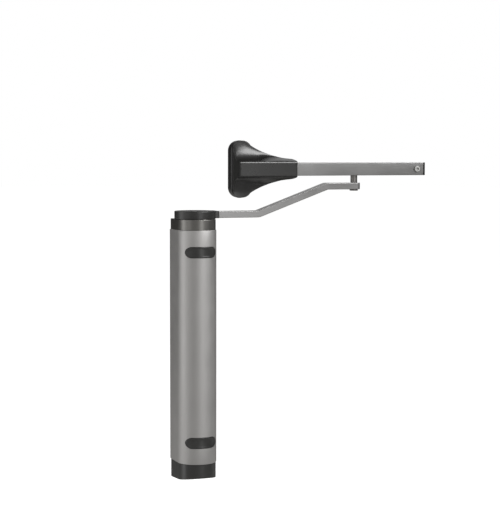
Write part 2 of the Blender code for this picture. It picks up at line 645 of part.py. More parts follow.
end_cap = box("rail_end_cap", (RAIL_X[1] + 0.3, CAP_X),
              (AXIS_Y - RAIL_D / 2, AXIS_Y + RAIL_D / 2), (RAIL_Z - RAIL_H / 2, RAIL_Z + RAIL_H / 2), 0.8)
plug = as_cutter(box("end_cap_plug", (RAIL_X[1] - 22, RAIL_X[1] + 2), (AXIS_Y - SL_Y, AXIS_Y + SL_Y),
                     (RAIL_Z - SL_Z, RAIL_Z + SL_Z)))
boolean(end_cap, plug, "UNION")
boolean(end_cap, as_cutter(rod("end_cap_tap", 2.3, (SCREW_X, 0, RAIL_Z), "Y", -60, AXIS_Y + 3, 12)))
finish(end_cap, BLACK, leaf)
socket_screw("end_cap_screw", (SCREW_X, AXIS_Y - RAIL_D / 2 - 0.3, RAIL_Z), "-Y", 4.6, 2.3, 2.0, 12.0,
             1.7, ZINC, leaf, steps=16)
finish(box("rail_buffer", (RAIL_X[1] - 27.4, RAIL_X[1] - 22.4), (AXIS_Y - SL_Y, AXIS_Y + SL_Y),
           (RAIL_Z - SL_Z, RAIL_Z + SL_Z)), RUBBER, leaf)


# ---- gate bracket: base, cover and screws ------------------------------------------
def plate_ring(inset, y):
    r = PLATE_CORNER - inset
    cx, cz = PLATE_W - PLATE_CORNER, PLATE_HALF - PLATE_CORNER
    corners = ((cx, cz, 0), (-cx, cz, 90), (-cx, -cz, 180), (cx, -cz, 270))
    return [(x, y, z) for dx, dz, a in corners for x, z in arc(GATE_X + dx, RAIL_Z + dz, r, a, a + 90, 6)]


base = loft("gate_bracket", [plate_ring(0, 0), plate_ring(0, 1.2 - PLATE_T), plate_ring(1.2, -PLATE_T)])
boolean(base, as_cutter(box("bracket_boss", (71.0, RAIL_X[0] - 0.4), (AXIS_Y - 9.6, -8),
                            (RAIL_Z - 9.6, RAIL_Z + 9.6))), "UNION")
boolean(base, as_cutter(box("bracket_spigot", (96, 150), (AXIS_Y - SL_Y, AXIS_Y + SL_Y),
                            (RAIL_Z - SL_Z, RAIL_Z + SL_Z))), "UNION")
for side, z in (("upper", RAIL_Z + 29), ("lower", RAIL_Z - 29)):
    boolean(base, as_cutter(turned("bracket_seat_" + side,
                                   [(0, 12), (7.4, 12), (7.4, -6), (4.4, -6), (4.4, -30), (0, -30)],
                                   (GATE_X, -PLATE_T, z), 16, "-Y")))
for label, x in (("inner", 116), ("outer", 138)):
    boolean(base, as_cutter(rod("spigot_tap_" + label, 2.2, (x, AXIS_Y, 0), "Z", RAIL_Z - 12, RAIL_Z + 3, 12)))
finish(base, BRACKET, leaf)

for side, z in (("upper", RAIL_Z + 29), ("lower", RAIL_Z - 29)):
    socket_screw("gate_screw_" + side, (GATE_X, -PLATE_T + 6 - 0.3, z), "-Y", 6.9, 5.4, 4.0, 7.4, 3.2,
                 ZINC, leaf)
for label, x in (("inner", 116), ("outer", 138)):
    socket_screw("rail_clamp_screw_" + label, (x, AXIS_Y, RAIL_Z - RAIL_H / 2 + RAIL_WALL - 0.9), "-Z",
                 3.4, 1.0, 1.9, 8.0, 1.5, STEEL, leaf)

# upper half of the hood's rim, from the left end of its middle line: x and half height
RIM = ((65.3, 12.0), (65.3, 24.0), (65.3, 35.0), (66.9, 39.3), (70.0, 42.3), (74.8, 43.7), (79.3, 43.5), (83.8, 42.1),
       (88.3, 39.6), (93.5, 36.2), (99.6, 32.6), (106.1, 29.4), (112.6, 26.5), (119.2, 24.1), (125.7, 21.9),
       (132.3, 20.2), (138.9, 18.5), (145.5, 17.2), (152.0, 16.4), (157.0, 15.9), (161.0, 15.5))
LEFT = 3                # rim points that belong to the left wall


def rim(inset):
    points = []
    for i, (x, z) in enumerate(RIM):
        points.append((min(max(x, RIM[0][0] + inset), RIM[-1][0] - inset), z if i < LEFT - 1 else z - inset))
    return points


def front(inset):
    x0, x1, z = COVER_FRONT_X[0] + inset, COVER_FRONT_X[1] - inset, COVER_FRONT_Z - inset
    points = [(x0, z * t) for t in (0.35, 0.7, 1.0)]
    near = (0.8, 2.4, 7.0)
    for i, (x, _) in enumerate(rim(inset)[LEFT:]):
        points.append((min(x0 + near[i] if i < len(near) else x, x1), z))
    return points


def hood(name, inset, bevel, y_front, y_rim, y_back, angles):
    """The flared hood: a concave sweep from the narrow front face out to its rim, going over to a convex side along the neck."""
    def ring(upper, y):
        points = [(x, y, RAIL_Z + z) for x, z in upper]
        return points + [(x, y, 2 * RAIL_Z - z) for x, y, z in points[::-1]]

    inner, outer = front(inset), rim(inset)
    rings = []
    if bevel:
        rings.append(ring(front(inset + bevel), y_front))
        y_front += bevel
    for a in angles:
        s = math.sin(math.radians(a))
        upper = []
        for (fx, fz), (bx, bz) in zip(inner, outer):
            m = min(max((bx - 104) / 50, 0.0), 1.0)
            g = (1 - m) * (1 - math.cos(math.radians(a))) + m * s ** 0.55
            upper.append((fx + (bx - fx) * s, fz + (bz - fz) * g))
        if bevel and a == 90:
            rings.append(ring(rim(inset + bevel), y_rim))
            rings.append(ring(outer, y_rim + bevel))
        else:
            rings.append(ring(upper, y_front + (y_rim - y_front) * s))
    rings.append(ring(outer, y_back))
    return loft(name, rings)


cover = hood("bracket_cover", 0.0, 0.6, COVER_FRONT_Y, COVER_RIM_Y, COVER_BACK_Y, (0, 22, 42, 58, 72, 82, 90))
boolean(cover, as_cutter(hood("cover_hollow", 0.9, 0.0, COVER_FRONT_Y + 1.0, COVER_RIM_Y + 1.6, COVER_BACK_Y + 2,
                              (0, 30, 55, 75, 90))))
boolean(cover, as_cutter(box("cover_rail_hole", (156, 170), (AXIS_Y - RAIL_D / 2 - 0.35, AXIS_Y + RAIL_D / 2 + 0.35),
                             (RAIL_Z - RAIL_H / 2 - 0.35, RAIL_Z + RAIL_H / 2 + 0.35))))
finish(cover, BRACKET, leaf, 40)
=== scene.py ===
# Gate opener arm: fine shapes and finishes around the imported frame.
# Row frame: +X along the closed gate, +Y into the post, +Z up.

import json
import math

import bmesh
import bpy
from mathutils import Matrix, Vector


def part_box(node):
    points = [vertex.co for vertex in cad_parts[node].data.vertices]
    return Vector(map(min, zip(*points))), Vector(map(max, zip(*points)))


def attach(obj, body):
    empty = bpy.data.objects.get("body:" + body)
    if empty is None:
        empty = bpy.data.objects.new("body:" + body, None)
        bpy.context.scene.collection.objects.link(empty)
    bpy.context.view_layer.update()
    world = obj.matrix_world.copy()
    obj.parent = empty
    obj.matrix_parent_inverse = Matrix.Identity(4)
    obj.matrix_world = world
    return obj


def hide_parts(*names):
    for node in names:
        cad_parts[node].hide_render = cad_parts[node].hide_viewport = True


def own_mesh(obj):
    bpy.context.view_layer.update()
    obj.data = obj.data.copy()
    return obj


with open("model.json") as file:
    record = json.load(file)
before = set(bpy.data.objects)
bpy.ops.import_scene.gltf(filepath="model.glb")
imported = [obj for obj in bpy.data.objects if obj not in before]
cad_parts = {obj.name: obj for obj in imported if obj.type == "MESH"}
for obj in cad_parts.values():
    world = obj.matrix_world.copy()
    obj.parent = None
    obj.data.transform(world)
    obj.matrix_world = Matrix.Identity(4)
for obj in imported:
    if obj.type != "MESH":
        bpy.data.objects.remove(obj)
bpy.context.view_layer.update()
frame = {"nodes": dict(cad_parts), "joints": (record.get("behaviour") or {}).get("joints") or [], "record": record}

MM = 0.001
scene = bpy.context.scene

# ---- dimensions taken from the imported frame, in millimetres -------------------


def low_high(node):
    low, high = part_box(node)
    return [v / MM for v in low], [v / MM for v in high]


tube_low, tube_high = low_high("body_tube")
collar_low, collar_high = low_high("top_collar")
cap_low, cap_high = low_high("bottom_cap")
hub_low, hub_high = low_high("arm_hub")
bar_low, bar_high = low_high("arm_bar")
rail_low, rail_high = low_high("slide_rail")
endcap_low, endcap_high = low_high("rail_end_cap")
hood_low, hood_high = low_high("bracket_cover")
base_low, base_high = low_high("gate_bracket")
pin_low, pin_high = low_high("pivot_pin")

AXIS_Y = (rail_low[1] + rail_high[1]) / 2
RAIL_Z = (rail_low[2] + rail_high[2]) / 2
TUBE_W = tube_high[0]
TUBE_ARC_Y = tube_low[1] + TUBE_W
TUBE_HALF = tube_high[2]
TUBE_WALL, TUBE_CORNER = 3.0, 3.6
FIX_X, FIX_Z = 15.5, 142.5
SLOT_W, SLOT_H = 48.0, 17.0
COLLAR_TOP = collar_high[2]
CAP_BACK, CAP_BELLY = -203.2, 340.0
HUB_R = -hub_low[0]
HUB_Z = (hub_low[2], hub_high[2])
BEAK_X = hub_high[0]
ARM_T, ARM_W = 10.2, 17.0
ARM_END = bar_high[0]
ARM_Z = bar_low[2] + ARM_T / 2
ARM_RISE = bar_high[2] - bar_low[2] - ARM_T
ARM_BENDS = (99.5, 211.9)
PIN_X, PIN_R = (pin_low[0] + pin_high[0]) / 2, 5.3
GATE_X = 81.0
PLATE_W, PLATE_HALF, PLATE_T, PLATE_CORNER = 17.0, 43.5, 16.0, 15.5
SCREW_X = 362.8


# ---- shape helpers -------------------------------------------------------------
def arc(cx, cy, r, start, end, n):
    """n + 1 points on an arc, angles in degrees, end included."""
    return [
        (cx + r * math.cos(math.radians(start + (end - start) * i / n)),
         cy + r * math.sin(math.radians(start + (end - start) * i / n)))
        for i in range(n + 1)
    ]


def d_outline(half, back, corner, n=120, c=8):
    """The closer's D: a round front, straight sides and a flat back with small corners."""
    corner = max(corner, 0.3)
    return (
        arc(0, TUBE_ARC_Y, half, 180, 360, n)
        + arc(half - corner, back - corner, corner, 0, 90, c)
        + arc(-half + corner, back - corner, corner, 90, 180, c)
    )


def obround(cx, cy, width, height, n=20, m=1):
    """A slot shape lying along its first axis; m is how many steps its straight sides take."""
    r = height / 2
    d = width / 2 - r
    upper = [(cx + d - 2 * d * k / m, cy + r) for k in range(1, m)]
    lower = [(cx - d + 2 * d * k / m, cy - r) for k in range(1, m)]
    return arc(cx + d, cy, r, -90, 90, n) + upper + arc(cx - d, cy, r, 90, 270, n) + lower


def rectangle(x0, x1, y0, y1, r, n=6):
    """A rectangle with round corners."""
    r = max(r, 0.02)
    return (
        arc(x1 - r, y0 + r, r, -90, 0, n) + arc(x1 - r, y1 - r, r, 0, 90, n)
        + arc(x0 + r, y1 - r, r, 90, 180, n) + arc(x0 + r, y0 + r, r, 180, 270, n)
    )


def edges(low, high, r_low, r_high, n=4):
    """(inset, height) pairs for a prism whose two rims are rounded."""
    pairs = []
    for i in range(n + 1):
        a = math.radians(90 * (n - i) / n)
        pairs.append((r_low * (1 - math.cos(a)), low + r_low * (1 - math.sin(a))))
    for i in range(n + 1):
        a = math.radians(90 * i / n)
        pairs.append((r_high * (1 - math.cos(a)), high - r_high * (1 - math.sin(a))))
    return pairs


def solid(name, rings, loop=False, caps=True):
    """A closed mesh through rings of equal length; with loop, the last ring joins the first."""
    bm = bmesh.new()
    rows = [[bm.verts.new(Vector(p) * MM) for p in ring] for ring in rings]
    n = len(rows[0])
    pairs = list(zip(rows, rows[1:])) + ([(rows[-1], rows[0])] if loop else [])
    for a, b in pairs:
        for i in range(n):
            j = (i + 1) % n
            bm.faces.new((a[i], a[j], b[j], b[i]))
    if caps and not loop:
        bm.faces.new(rows[0][::-1])
        bm.faces.new(rows[-1])
    bmesh.ops.remove_doubles(bm, verts=bm.verts, dist=2e-7)
    bmesh.ops.dissolve_degenerate(bm, edges=bm.edges, dist=1e-7)
    bmesh.ops.recalc_face_normals(bm, faces=bm.faces)
    mesh = bpy.data.meshes.new(name)
    bm.to_mesh(mesh)
    bm.free()
    obj = bpy.data.objects.new(name, mesh)
    scene.collection.objects.link(obj)
    return obj


def prism(name, outline, pairs, axis="Z"):
    """A prism with rounded rims: outline(inset) gives its shape at each inset."""
    place = {
        "Z": lambda a, b, h: (a, b, h),
        "Y": lambda a, b, h: (a, h, b),
        "X": lambda a, b, h: (h, a, b),
    }[axis]
    return solid(name, [[place(a, b, h) for a, b in outline(inset)] for inset, h in pairs])


AXES = {
    "Z": Matrix.Identity(4),
    "-Z": Matrix.Rotation(math.radians(180), 4, "X"),
    "-Y": Matrix.Rotation(math.radians(90), 4, "X"),
    "Y": Matrix.Rotation(math.radians(-90), 4, "X"),
}


def lathe(name, profile, at=(0, 0, 0), axis="Z", steps=96, loop=False):
    """A turned piece from (radius, height) points; radius may be a function of the angle."""
    rings = []
    for r, z in profile:
        ring = []
        for i in range(steps):
            t = 2 * math.pi * i / steps
            k = r(t) if callable(r) else r
            ring.append((k * math.cos(t), k * math.sin(t), z))
        rings.append(ring)
    obj = solid(name, rings, loop)
    obj.data.transform(Matrix.Translation(Vector(at) * MM) @ AXES[axis])
    return obj


def rod(radius, at, axis, low, high, steps=48):
    """A cutter rod along an axis direction between two heights above at."""
    return lathe("tool", [(radius, low), (radius, high)], at, axis, steps)


def block(x, y, z, r=0.0, n=3):
    """A block between two corners with all its edges rounded."""
    bm = bmesh.new()
    size = Vector((x[1] - x[0], y[1] - y[0], z[1] - z[0])) * MM
    centre = Vector((x[0] + x[1], y[0] + y[1], z[0] + z[1])) * MM / 2
    bmesh.ops.create_cube(bm, size=1.0, matrix=Matrix.Translation(centre) @ Matrix.Diagonal((*size, 1.0)))
    if r:
        bmesh.ops.bevel(bm, geom=bm.edges[:], offset=r * MM, segments=n, profile=0.5, affect="EDGES")
    mesh = bpy.data.meshes.new("block")
    bm.to_mesh(mesh)
    bm.free()
    obj = bpy.data.objects.new("block", mesh)
    scene.collection.objects.link(obj)
    return obj


def carve(obj, *tools, operation="DIFFERENCE"):
    """Cuts or joins helper solids, leaves one plain mesh and removes the helpers."""
    for tool in tools:
        m = obj.modifiers.new("carve", "BOOLEAN")
        m.object = tool
        m.operation = operation
        m.solver = "EXACT"
    bpy.context.view_layer.update()
    graph = bpy.context.evaluated_depsgraph_get()
    mesh = bpy.data.meshes.new_from_object(obj.evaluated_get(graph))
    obj.modifiers.clear()
    old = obj.data
    obj.data = mesh
    bpy.data.meshes.remove(old)
    for tool in tools:
        data = tool.data
        bpy.data.objects.remove(tool, do_unlink=True)
        bpy.data.meshes.remove(data)
    return obj


def hexagon(flat):
    """Radius of a hexagonal hole of that half width across flats, by angle."""
    step = math.pi / 3
    return lambda t: flat / math.cos((t % step) - step / 2)


def screw(name, at, axis, head, height, shank, length, key, dome=0.35, sunk=False):
    """A hexagon-socket screw: at is under its head, or on the top of a countersunk head."""
    flat = key
    if sunk:
        top = 0.0
        side = [(head - 0.15, 0.0), (head, -0.15), (head, -0.45), (shank, -0.45 - (head - shank))]
        depth = 2.0
    else:
        top = height
        r = min(dome, height * 0.6)
        side = [(head - r + r * math.sin(math.radians(a)), height - r + r * math.cos(math.radians(a)))
                for a in (0, 22.5, 45, 67.5, 90)]
        side += [(head, 0.25), (head - 0.25, 0.0), (shank, 0.0)]
        depth = min(2.6, height * 0.8)
    inner = [(0.001, top - depth - 0.5), (hexagon(flat), top - depth), (hexagon(flat), top - 0.3),
             (lambda t: max(hexagon(flat)(t), flat * 1.12), top)]
    thread = [(shank, -length + 0.6), (shank - 0.6, -length), (0.001, -length)]
    return lathe(name, inner + side + thread, at, axis, 72)


# ---- procedural finishes ---------------------------------------------------------
class Finish:
    """A procedural material: small wrappers around its node tree."""

    def __init__(self, name, metallic, ior=1.5, coat=0.0, coat_rough=0.1):
        self.m = bpy.data.materials.new(name)
        self.m.use_nodes = True
        self.t = self.m.node_tree
        self.bsdf = self.t.nodes["Principled BSDF"]
        self.bsdf.inputs["Metallic"].default_value = metallic
        self.bsdf.inputs["IOR"].default_value = ior
        self.bsdf.inputs["Coat Weight"].default_value = coat
        self.bsdf.inputs["Coat Roughness"].default_value = coat_rough
        self.where = self.t.nodes.new("ShaderNodeTexCoord").outputs["Object"]

    def node(self, kind, **values):
        n = self.t.nodes.new(kind)
        for key, value in values.items():
            setattr(n, key, value)
        return n

    def link(self, a, b):
        self.t.links.new(a, b)

    def noise(self, scale, stretch=(1, 1, 1), detail=3.0, rough=0.55):
        """Noise whose grains are about 1/scale metres, drawn out along an axis by stretch."""
        place = self.node("ShaderNodeMapping")
        place.inputs["Scale"].default_value = stretch
        self.link(self.where, place.inputs["Vector"])
        n = self.node("ShaderNodeTexNoise")
        n.inputs["Scale"].default_value = scale
        n.inputs["Detail"].default_value = detail
        n.inputs["Roughness"].default_value = rough
        self.link(place.outputs["Vector"], n.inputs["Vector"])
        return n.outputs["Fac"]

    def cells(self, scale, stretch=(1, 1, 1)):
        place = self.node("ShaderNodeMapping")
        place.inputs["Scale"].default_value = stretch
        self.link(self.where, place.inputs["Vector"])
        n = self.node("ShaderNodeTexVoronoi")
        n.inputs["Scale"].default_value = scale
        self.link(place.outputs["Vector"], n.inputs["Vector"])
        return n.outputs["Distance"]

    def spread(self, value, low, high, start=0.3, end=0.7):
        n = self.node("ShaderNodeMapRange")
        self.link(value, n.inputs["Value"])
        n.inputs["From Min"].default_value = start
        n.inputs["From Max"].default_value = end
        n.inputs["To Min"].default_value = low
        n.inputs["To Max"].default_value = high
        return n.outputs["Result"]

    def add(self, a, b, operation="ADD"):
        n = self.node("ShaderNodeMath", operation=operation)
        self.link(a, n.inputs[0])
        self.link(b, n.inputs[1])
        return n.outputs[0]

    def blend(self, factor, a, b):
        n = self.node("ShaderNodeMix", data_type="RGBA")
        if hasattr(factor, "is_linked") or not isinstance(factor, float):
            self.link(factor, n.inputs["Factor"])
        for socket, value in ((n.inputs[6], a), (n.inputs[7], b)):
            if isinstance(value, tuple):
                socket.default_value = (*value, 1.0)
            else:
                self.link(value, socket)
        return n.outputs[2]

    def bumps(self, *layers):
        """Each layer is (height, metres, strength); they add up in order."""
        last = None
        for height, distance, strength in layers:
            n = self.node("ShaderNodeBump")
            n.inputs["Distance"].default_value = distance
            n.inputs["Strength"].default_value = strength
            self.link(height, n.inputs["Height"])
            if last:
                self.link(last, n.inputs["Normal"])
            last = n.outputs["Normal"]
        self.link(last, self.bsdf.inputs["Normal"])

    def done(self, colour, roughness):
        self.link(colour, self.bsdf.inputs["Base Color"])
        self.link(roughness, self.bsdf.inputs["Roughness"])
        return self.m


def drawn_metal(name, dark, light, rough, along, grain=2200, bump=0.6, blotch=0.03):
    """Metal with a fine grain drawn out along one axis and a faint cloudiness."""
    f = Finish(name, 1.0)
    stretch = tuple(0.012 if axis == along else 1.0 for axis in "XYZ") if along else (1, 1, 1)
    streak = f.noise(grain, stretch, 4.0, 0.6)
    broad = f.noise(grain / 6, tuple(0.05 if s < 1 else 1 for s in stretch), 3.0, 0.5)
    speckle = f.noise(5200, detail=2.0)
    cloud = f.noise(28, detail=4.0)
    tone = f.add(f.spread(streak, 0.0, 0.55), f.spread(cloud, 0.0, 0.45))
    colour = f.blend(tone, dark, light)
    roughness = f.add(
        f.add(f.spread(streak, rough - 0.035, rough + 0.035), f.spread(cloud, -blotch, blotch)),
        f.spread(speckle, -0.02, 0.02),
    )
    f.bumps((broad, 0.00002, 0.12 * bump), (streak, 0.00001, 0.35 * bump), (speckle, 0.000008, 0.3 * bump))
    return f.done(colour, roughness)


def coated(name, dark, light, rough, peel, peel_depth, fine, fine_depth, ior=1.5, coat=0.0, dust=0.0, metallic=0.0):
    """Paint, powder coat or moulded plastic: a soft waviness, a fine grain, faint tone changes."""
    f = Finish(name, metallic, ior, coat, 0.18)
    waves = f.noise(peel, detail=2.0, rough=0.45)
    grain = f.noise(fine, detail=2.0)
    pores = f.cells(fine * 0.55)
    cloud = f.noise(22, detail=5.0)
    rubbed = f.noise(70, (1.0, 1.0, 0.35), 5.0, 0.65)
    colour = f.blend(f.spread(cloud, 0.0, 1.0), dark, light)
    if dust:
        colour = f.blend(f.spread(f.noise(900, detail=3.0), 0.0, dust, 0.60, 0.78), colour,
                         (0.11, 0.105, 0.095))
    roughness = f.add(f.spread(cloud, rough - 0.02, rough + 0.03), f.spread(rubbed, -0.02, 0.03))
    f.bumps((waves, peel_depth, 0.5), (grain, fine_depth, 0.5), (pores, fine_depth * 0.6, 0.3))
    return f.done(colour, roughness)


FINISH = {
    "anodised_aluminium": drawn_metal(
        "anodised_aluminium", (0.565, 0.558, 0.552), (0.611, 0.604, 0.597), 0.54, "Z", 2400, 0.5),
    "rail_aluminium": drawn_metal(
        "rail_aluminium", (0.35, 0.35, 0.35), (0.40, 0.40, 0.40), 0.38, "X", 2400, 0.7),
    "arm_steel": drawn_metal(
        "arm_steel", (0.375, 0.374, 0.373), (0.445, 0.444, 0.443), 0.36, "X", 1500, 1.2, 0.05),
    "zinc_plate": drawn_metal("zinc_plate", (0.56, 0.56, 0.55), (0.68, 0.68, 0.66), 0.30, None, 1800, 0.8, 0.05),
    "phosphated_steel": drawn_metal(
        "phosphated_steel", (0.27, 0.26, 0.25), (0.34, 0.33, 0.32), 0.36, "Z", 2600, 0.8, 0.04),
    "bright_steel": drawn_metal("bright_steel", (0.50, 0.50, 0.51), (0.60, 0.60, 0.61), 0.24, "Z", 3000, 0.6),
    "satin_zinc": drawn_metal("satin_zinc", (0.56, 0.56, 0.55), (0.63, 0.63, 0.615), 0.58, None, 1800, 0.8, 0.05),
    "spring_steel": drawn_metal("spring_steel", (0.10, 0.10, 0.105), (0.20, 0.20, 0.21), 0.38, None, 1600, 1.0, 0.06),
    "cast_aluminium": drawn_metal("cast_aluminium", (0.38, 0.38, 0.375), (0.50, 0.50, 0.495), 0.55, None, 900, 3.0, 0.06),
    "bronze": drawn_metal("bronze", (0.46, 0.29, 0.13), (0.60, 0.40, 0.19), 0.38, None, 2600, 1.6, 0.05),
    "dark_collar": coated("dark_collar", (0.25, 0.244, 0.233), (0.29, 0.283, 0.27), 0.34,
                          520, 0.00001, 3200, 0.000003, 1.5, metallic=1.0),
    "black_plastic": coated("black_plastic", (0.010, 0.010, 0.0094), (0.015, 0.015, 0.014), 0.33,
                            420, 0.00001, 2600, 0.000006, 1.72, dust=0.02),
    "black_powder_coat": coated("black_powder_coat", (0.006, 0.006, 0.0058), (0.009, 0.009, 0.0086), 0.285,
                                520, 0.000017, 2300, 0.000004, 1.74, dust=0.02),
    "matt_plastic": coated("matt_plastic", (0.003, 0.003, 0.003), (0.005, 0.005, 0.0048), 0.62,
                           420, 0.00001, 2600, 0.000006, 1.25, dust=0.01),
    "rubber": coated("rubber", (0.012, 0.012, 0.012), (0.02, 0.02, 0.02), 0.72,
                     300, 0.00003, 1800, 0.00003, 1.45, dust=0.1),
    "slider_plastic": coated("slider_plastic", (0.018, 0.018, 0.018), (0.028, 0.028, 0.027), 0.45,
                             350, 0.00002, 2200, 0.00002, 1.48),
}

slot_of = {s["node"]: s["material_slot"] for s in frame["record"]["subparts"]}
body_of = {n: b for b, names in frame["record"]["behaviour"]["bodies"].items() for n in names}

for node, obj in frame["nodes"].items():
    if not obj.material_slots:
        obj.data.materials.append(FINISH[slot_of[node]])
    for s in obj.material_slots:
        s.link = "OBJECT"
        s.material = FINISH[slot_of[node]]


def place(obj, node, angle=34.0, weighted=True, finish=None):
    """Names a finished piece, paints it, hides the CAD node it stands for and sets it on that node's body."""
    obj.name = node + "_fine"
    obj.data.name = obj.name
    obj.data.materials.clear()
    obj.data.materials.append(FINISH[finish or slot_of[node]])
    obj.data.shade_smooth()
    obj.data.set_sharp_from_angle(angle=math.radians(angle))
    if weighted:
        w = obj.modifiers.new("Normals", "WEIGHTED_NORMAL")
        w.mode = "FACE_AREA"
        w.weight = 60
        w.keep_sharp = True
    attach(obj, body_of[node])
    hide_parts(node)
    return obj


# ---- closer: tube --------------------------------------------------------------
def tube_ring(inset, z):
    return [(x, y, z) for x, y in d_outline(TUBE_W - inset, -inset, TUBE_CORNER - inset)]


def bore_ring(inset, z):
    return [(x, y, z) for x, y in
            d_outline(TUBE_W - TUBE_WALL + inset, -TUBE_WALL + inset, 2.0 + inset)]


tube = solid(
    "body_tube",
    [tube_ring(i, z) for i, z in edges(-TUBE_HALF, TUBE_HALF, 0.45, 0.45, 3)]
    + [bore_ring(0.25, TUBE_HALF), bore_ring(0, TUBE_HALF - 0.25),
       bore_ring(0, -TUBE_HALF + 0.25), bore_ring(0.25, -TUBE_HALF)],
    loop=True,
)
tools = []
for z in (FIX_Z, -FIX_Z):
    tools.append(prism("tool", lambda i, z=z: obround(0, z, SLOT_W, SLOT_H, 24), [(0, -90), (0, -46)], "Y"))
    for x in (-FIX_X, FIX_X):
        tools.append(rod(4.5, (x, 0, z), "Y", -12, 6))
place(carve(tube, *tools), "body_tube", 30, weighted=False)


# ---- closer: slot covers, pressed in flush with the tube ---------------------------
def cover_piece(node, z):
    """An oval plug whose outer face follows the tube's round front, with a shallow dished middle."""
    def ring(inset, drop):
        return [(x, TUBE_ARC_Y - math.sqrt((TUBE_W - drop) ** 2 - x * x), h)
                for x, h in obround(0, z, SLOT_W - 0.7 - 2 * inset, SLOT_H - 0.7 - 2 * inset, 24, 40)]

    mid = (SLOT_H - 0.7) / 2
    rings = [ring(mid, 0.92), ring(6.5, 0.91), ring(4.6, 0.88), ring(3.2, 0.82)]
    rings += [ring(inset, drop) for inset, drop in (
        (2.6, 0.74), (2.2, 0.62), (1.8, 0.52), (1.4, 0.46), (0.9, 0.44), (0.5, 0.50), (0.2, 0.66), (0.05, 0.88),
        (0.0, 1.15), (0.0, 2.9), (3.2, 2.9), (6.5, 2.9), (mid, 2.9))]
    place(solid(node, rings, caps=False), node, 50)


cover_piece("slot_cover_upper", FIX_Z)
cover_piece("slot_cover_lower", -FIX_Z)


# ---- closer: collar --------------------------------------------------------------
collar = prism("top_collar", lambda i: d_outline(TUBE_W - 1.0 - i, -0.8 - i, 4.0 - i),
               edges(TUBE_HALF + 0.3, COLLAR_TOP, 0.3, 0.9, 4))
carve(collar, prism("tool", lambda i: d_outline(26.6 - i, -3.4 - i, 1.8 - i), edges(168.4, 178, 0.5, 0.1, 2)),
      operation="UNION")
tools = [rod(11.3, (0, AXIS_Y, 0), "Z", 160, 200, 96)]
for x in (-18, 18):
    tools.append(lathe("tool", [(0.001, 12), (4.4, 12), (4.4, -0.2), (2.4, -2.2), (2.4, -40), (0.001, -40)],
                       (x, -20, COLLAR_TOP), steps=48))
place(carve(collar, *tools), "top_collar")


# ---- closer: bottom cap with its curved underside ----------------------------------
def cap_floor(y):
    return CAP_BACK + CAP_BELLY - math.sqrt(CAP_BELLY ** 2 - y * y)


def cap_outline(i):
    return d_outline(TUBE_W - 1.0 - i, -0.8 - i, 4.0 - i)


r = 1.1
rings = [[(0, y, cap_floor(y)) for x, y in cap_outline(r)]]
for k in range(6):
    a = math.radians(90 - 18 * k)
    inset = r * (1 - math.cos(a))
    rings.append([(x, y, cap_floor(y) + r * (1 - math.sin(a))) for x, y in cap_outline(inset)])
for inset, z in ((0, -TUBE_HALF - 0.6), (0.1, -TUBE_HALF - 0.38), (0.3, -TUBE_HALF - 0.3)):
    rings.append([(x, y, z) for x, y in cap_outline(inset)])
rings.append([(0, y, -TUBE_HALF - 0.3) for x, y in cap_outline(0.3)])
cap = solid("bottom_cap", rings, caps=False)
carve(cap, prism("tool", lambda i: d_outline(26.6 - i, -3.4 - i, 1.8 - i), edges(-178, -168.4, 0.1, 0.5, 2)),
      operation="UNION")
tools = []
tools.append(prism("tool", lambda i: rectangle(-12.5, 12.5, AXIS_Y - 5.2, AXIS_Y + 5.2, 0.8, 4), [(0, -215), (0, -160)]))
for x in (-18, 18):
    tools.append(rod(4.4, (x, -20, 0), "Z", -215, -193))
    tools.append(rod(2.4, (x, -20, 0), "Z", -195, -160))
place(carve(cap, *tools), "bottom_cap")


# ---- closer: screws --------------------------------------------------------------
for side, z in (("upper", FIX_Z), ("lower", -FIX_Z)):
    for hand, x in (("left", -FIX_X), ("right", FIX_X)):
        node = f"post_screw_{side}_{hand}"
        place(screw(node, (x, -44.7, z), "-Y", 6.5, 8.0, 4.0, 44.3, 3.0, 0.8), node)
for hand, x in (("left", -18), ("right", 18)):
    node = "collar_screw_" + hand
    place(screw(node, (x, -20, COLLAR_TOP - 0.3), "Z", 3.9, 0, 1.9, 27.0, 1.5, sunk=True), node)
    node = "bottom_cap_screw_" + hand
    place(screw(node, (x, -20, -193.3), "-Z", 3.8, 2.6, 1.9, 31.0, 1.5, 0.5), node)


# ---- piston: closing spring, built as a fixed coil; the fraction it would shorten by is worked out but not applied ---
SPRING_R, WIRE_R, TURNS = 14.4, 2.2, 9
spring_low, spring_high = low_high("closing_spring")
SPRING_Z = (-101.7, 64.9)


def spring_ring(t):
    """One section of the wire, at t turns from the lower end."""
    closed = WIRE_R * 2.15
    z0, z1 = SPRING_Z
    if t < 1:
        z = z0 + WIRE_R + closed * t
    elif t > TURNS - 1:
        z = z1 - WIRE_R - closed * (TURNS - t)
    else:
        z = z0 + WIRE_R + closed + (z1 - z0 - 2 * WIRE_R - 2 * closed) * (t - 1) / (TURNS - 2)
    a = 2 * math.pi * t
    ring = []
    for k in range(16):
        b = 2 * math.pi * k / 16
        r = SPRING_R + WIRE_R * math.cos(b)
        ring.append((r * math.cos(a), AXIS_Y + r * math.sin(a), z + WIRE_R * math.sin(b)))
    return ring


spring = place(solid("closing_spring", [spring_ring(k / 40) for k in range(TURNS * 40 + 1)]), "closing_spring", 40,
               weighted=False)
travel = next(j for j in frame["joints"] if j["name"] == "piston_slide")["range_m"]
length = (SPRING_Z[1] - SPRING_Z[0]) * MM
(length - max(travel)) / length
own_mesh(spring)


